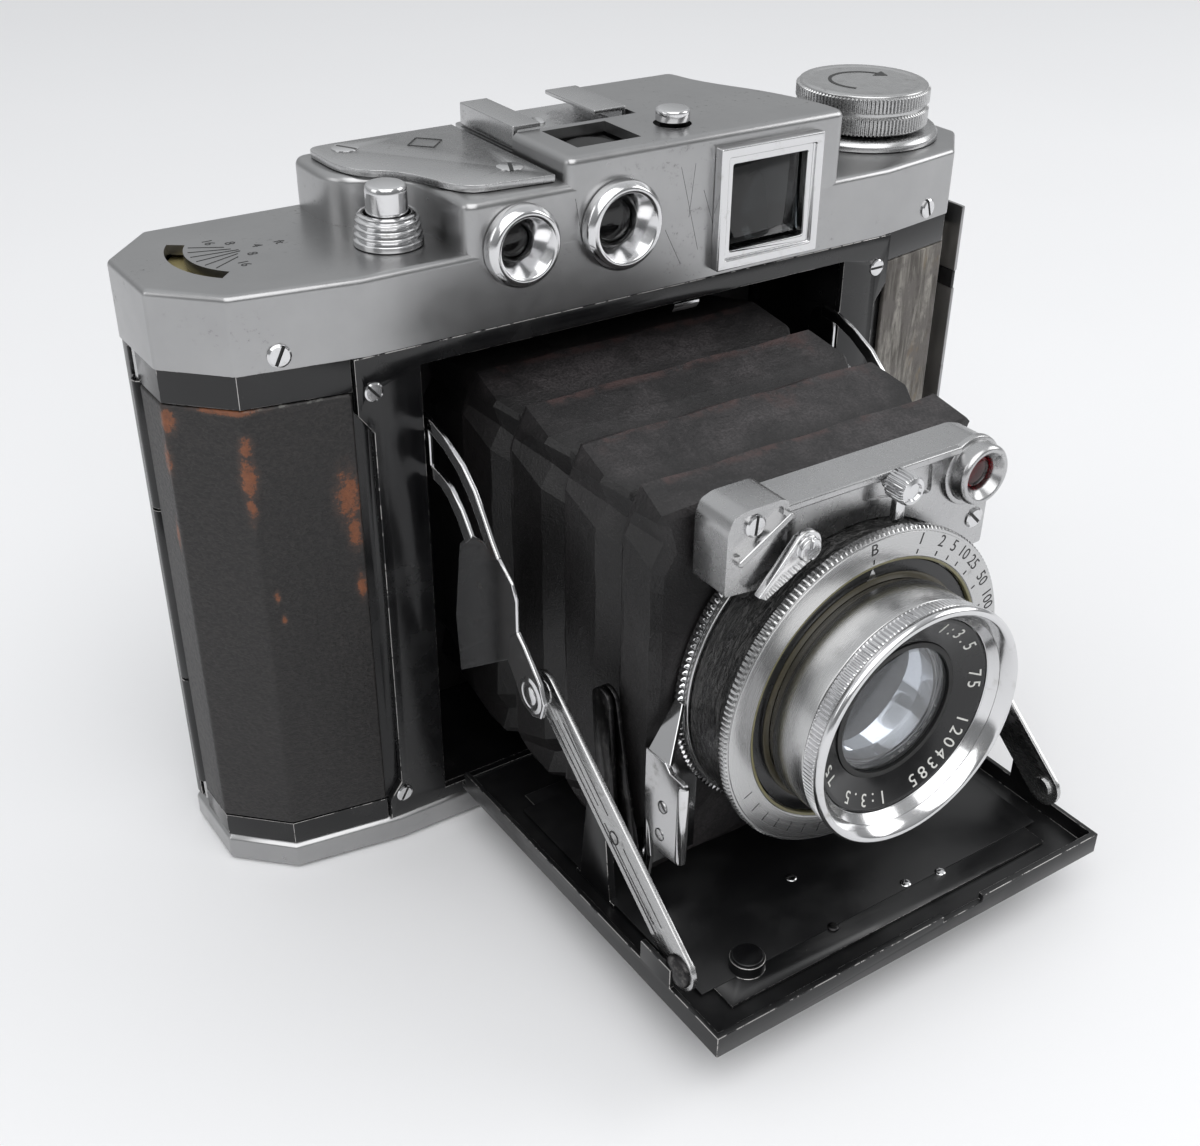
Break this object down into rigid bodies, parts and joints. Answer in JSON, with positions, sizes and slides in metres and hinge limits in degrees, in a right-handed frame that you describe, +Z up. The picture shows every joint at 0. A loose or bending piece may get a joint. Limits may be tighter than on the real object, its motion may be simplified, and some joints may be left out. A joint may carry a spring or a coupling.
{
  "type": "folding camera",
  "caption": "Folding roll-film camera, opened for use: bellows on a drop bed with folding struts, leaf-shutter lens, coupled rangefinder housing, winding knob and hinged back.",
  "frame": {"origin": "under the middle of the bounding box, on the surface the camera stands on", "axes": "+X towards the winding knob, -Y the way the lens looks, +Z up"},
  "size_m": [0.1459, 0.1062, 0.1096],
  "materials": {
    "satin_chrome": "satin",
    "bright_chrome": "polished",
    "steel": "satin",
    "lens_aluminium": "satin",
    "black_enamel": "gloss",
    "dark_steel": "satin",
    "shutter_black": "satin",
    "leather_black": "matte",
    "bellows_cloth": "matte",
    "clear_glass": "gloss",
    "dark_glass": "gloss",
    "mirror_glass": "polished",
    "black_plastic": "gloss",
    "scale_disc": "matte"
  },
  "bodies": {
    "camera_body": {"top_housing": "satin_chrome", "step_cover_plate": "satin_chrome", "accessory_shoe": "satin_chrome", "rangefinder_window_ring": "bright_chrome", "waist_finder_ring": "bright_chrome", "viewfinder_frame": "bright_chrome", "viewfinder_glass": "dark_glass", "waist_finder_top_lens": "clear_glass", "waist_finder_mirror": "mirror_glass", "rangefinder_prism": "clear_glass", "eyepiece_ring": "bright_chrome", "release_collar": "bright_chrome", "knob_base_ring": "satin_chrome", "bottom_plate": "satin_chrome", "tripod_bush": "bright_chrome", "body_shell": "black_enamel", "front_frame_plate": "black_enamel", "leather_left": "leather_black", "leather_right": "leather_black", "door_hinge_pin": "steel", "bed_hinge_pin": "steel", "bed_hinge_bracket": "dark_steel", "bellows": "bellows_cloth"},
    "release_button": {"shutter_release_button": "bright_chrome"},
    "bed_catch": {"bed_release_button": "bright_chrome"},
    "focusing": {"focus_wheel": "bright_chrome", "focus_scale_disc": "scale_disc"},
    "film_plane": {"film_gate": "dark_steel"},
    "winding": {"winding_knob": "steel", "takeup_spool": "black_plastic"},
    "supply": {"supply_spool": "black_plastic", "supply_spool_pin": "steel"},
    "door": {"back_door": "black_enamel", "pressure_plate": "dark_steel"},
    "latch": {"door_latch": "bright_chrome"},
    "red_window_cover": {"window_cover": "bright_chrome"},
    "bed": {"drop_bed": "black_enamel", "bed_floor_panel": "black_enamel"},
    "rear_links": {"rear_link_left": "dark_steel", "rear_link_right": "dark_steel"},
    "front_links": {"front_link_left": "dark_steel", "front_link_right": "dark_steel"},
    "standard": {"lens_standard": "bright_chrome", "standard_yoke": "satin_chrome", "rangefinder_eye_ring": "bright_chrome", "shutter_body": "shutter_black", "shutter_face_plate": "shutter_black", "lens_barrel": "lens_aluminium", "front_bezel": "bright_chrome", "name_ring": "shutter_black", "front_element": "clear_glass", "rear_cell": "shutter_black"},
    "speed_dial": {"speed_ring": "lens_aluminium"},
    "iris": {"iris_blades": "dark_steel"},
    "trip_lever": {"release_lever": "bright_chrome"},
    "cocking": {"cocking_lever": "bright_chrome"},
    "upper_arms": {"upper_arm_left": "bright_chrome", "upper_arm_right": "bright_chrome"},
    "struts": {"strut_left": "steel", "strut_right": "steel"}
  },
  "joints": [
    {"name": "bed_fold", "type": "hinge", "parent": "camera_body", "child": "bed", "pos_m": [0, 0.0179, 0.0105], "axis": [-1, 0, 0], "range_deg": [0, 90], "deforming": ["bellows"]},
    {"name": "rear_link_pivot", "type": "hinge", "parent": "bed", "child": "rear_links", "pos_m": [0, -0.0176, 0.0245], "axis": [-1, 0, 0], "range_deg": [0, 122.4]},
    {"name": "front_link_pivot", "type": "hinge", "parent": "rear_links", "child": "front_links", "pos_m": [0, -0.016, 0.0426], "axis": [-1, 0, 0], "range_deg": [-290.7, 0]},
    {"name": "standard_pivot", "type": "hinge", "parent": "front_links", "child": "standard", "pos_m": [0, -0.0219, 0.0177], "axis": [-1, 0, 0], "range_deg": [0, 78.3]},
    {"name": "arm_pivot", "type": "hinge", "parent": "camera_body", "child": "upper_arms", "pos_m": [0, 0.0214, 0.071], "axis": [-1, 0, 0], "range_deg": [-46, 0]},
    {"name": "strut_pivot", "type": "hinge", "parent": "bed", "child": "struts", "pos_m": [0, -0.0426, 0.0155], "axis": [-1, 0, 0], "range_deg": [0, 39]},
    {"name": "shutter_release_press", "type": "slide", "parent": "camera_body", "child": "release_button", "axis": [0, 0, -1], "range_m": [0, 0.0025], "stiffness_N_per_m": 300, "springref_m": -0.001},
    {"name": "bed_release_press", "type": "slide", "parent": "camera_body", "child": "bed_catch", "axis": [0, 0, -1], "range_m": [0, 0.0012], "stiffness_N_per_m": 300, "springref_m": -0.001},
    {"name": "focus_turn", "type": "hinge", "parent": "camera_body", "child": "focusing", "pos_m": [-0.0535, 0.0368, 0.09], "axis": [0, 0, 1], "range_deg": [0, 200]},
    {"name": "film_plane_shift", "type": "slide", "parent": "camera_body", "child": "film_plane", "axis": [0, 1, 0], "range_m": [0, 0.0034]},
    {"name": "wind_turn", "type": "hinge", "parent": "camera_body", "child": "winding", "pos_m": [0.0574, 0.0375, 0.095], "axis": [0, 0, 1], "continuous": true},
    {"name": "supply_turn", "type": "hinge", "parent": "camera_body", "child": "supply", "pos_m": [-0.0574, 0.0375, 0.04], "axis": [0, 0, 1], "continuous": true},
    {"name": "door_swing", "type": "hinge", "parent": "camera_body", "child": "door", "pos_m": [-0.0715, 0.0393, 0.045], "axis": [0, 0, 1], "range_deg": [0, 110]},
    {"name": "latch_slide", "type": "slide", "parent": "door", "child": "latch", "axis": [0, 0, 1], "range_m": [0, 0.003]},
    {"name": "red_window_cover_swing", "type": "hinge", "parent": "door", "child": "red_window_cover", "pos_m": [-0.014, 0.0524, 0.041], "axis": [0, 1, 0], "range_deg": [0, 70]},
    {"name": "speed_turn", "type": "hinge", "parent": "standard", "child": "speed_dial", "pos_m": [0, -0.0353, 0.0444], "axis": [0, -1, 0], "range_deg": [0, 80]},
    {"name": "iris_turn", "type": "hinge", "parent": "standard", "child": "iris", "pos_m": [0, -0.032, 0.0444], "axis": [0, 1, 0], "range_deg": [0, 45]},
    {"name": "trip_lever_swing", "type": "hinge", "parent": "standard", "child": "trip_lever", "pos_m": [-0.0118, -0.0334, 0.0702], "axis": [0, 1, 0], "range_deg": [0, 8], "stiffness_Nm_per_rad": 0.004, "springref_deg": -5.73},
    {"name": "cocking_swing", "type": "hinge", "parent": "standard", "child": "cocking", "pos_m": [0, -0.0336, 0.0444], "axis": [0, -1, 0], "range_deg": [0, 20]}
  ],
  "couplings": [
    {"joint": "rear_link_pivot", "follows": "bed_fold", "ratio": 1.36},
    {"joint": "front_link_pivot", "follows": "bed_fold", "ratio": -3.23},
    {"joint": "standard_pivot", "follows": "bed_fold", "ratio": 0.87},
    {"joint": "arm_pivot", "follows": "bed_fold", "ratio": -0.511},
    {"joint": "strut_pivot", "follows": "bed_fold", "ratio": 0.433},
    {"joint": "film_plane_shift", "follows": "focus_turn", "m_per_rad": 0.000974},
    {"joint": "supply_turn", "follows": "wind_turn", "ratio": 1}
  ]
}
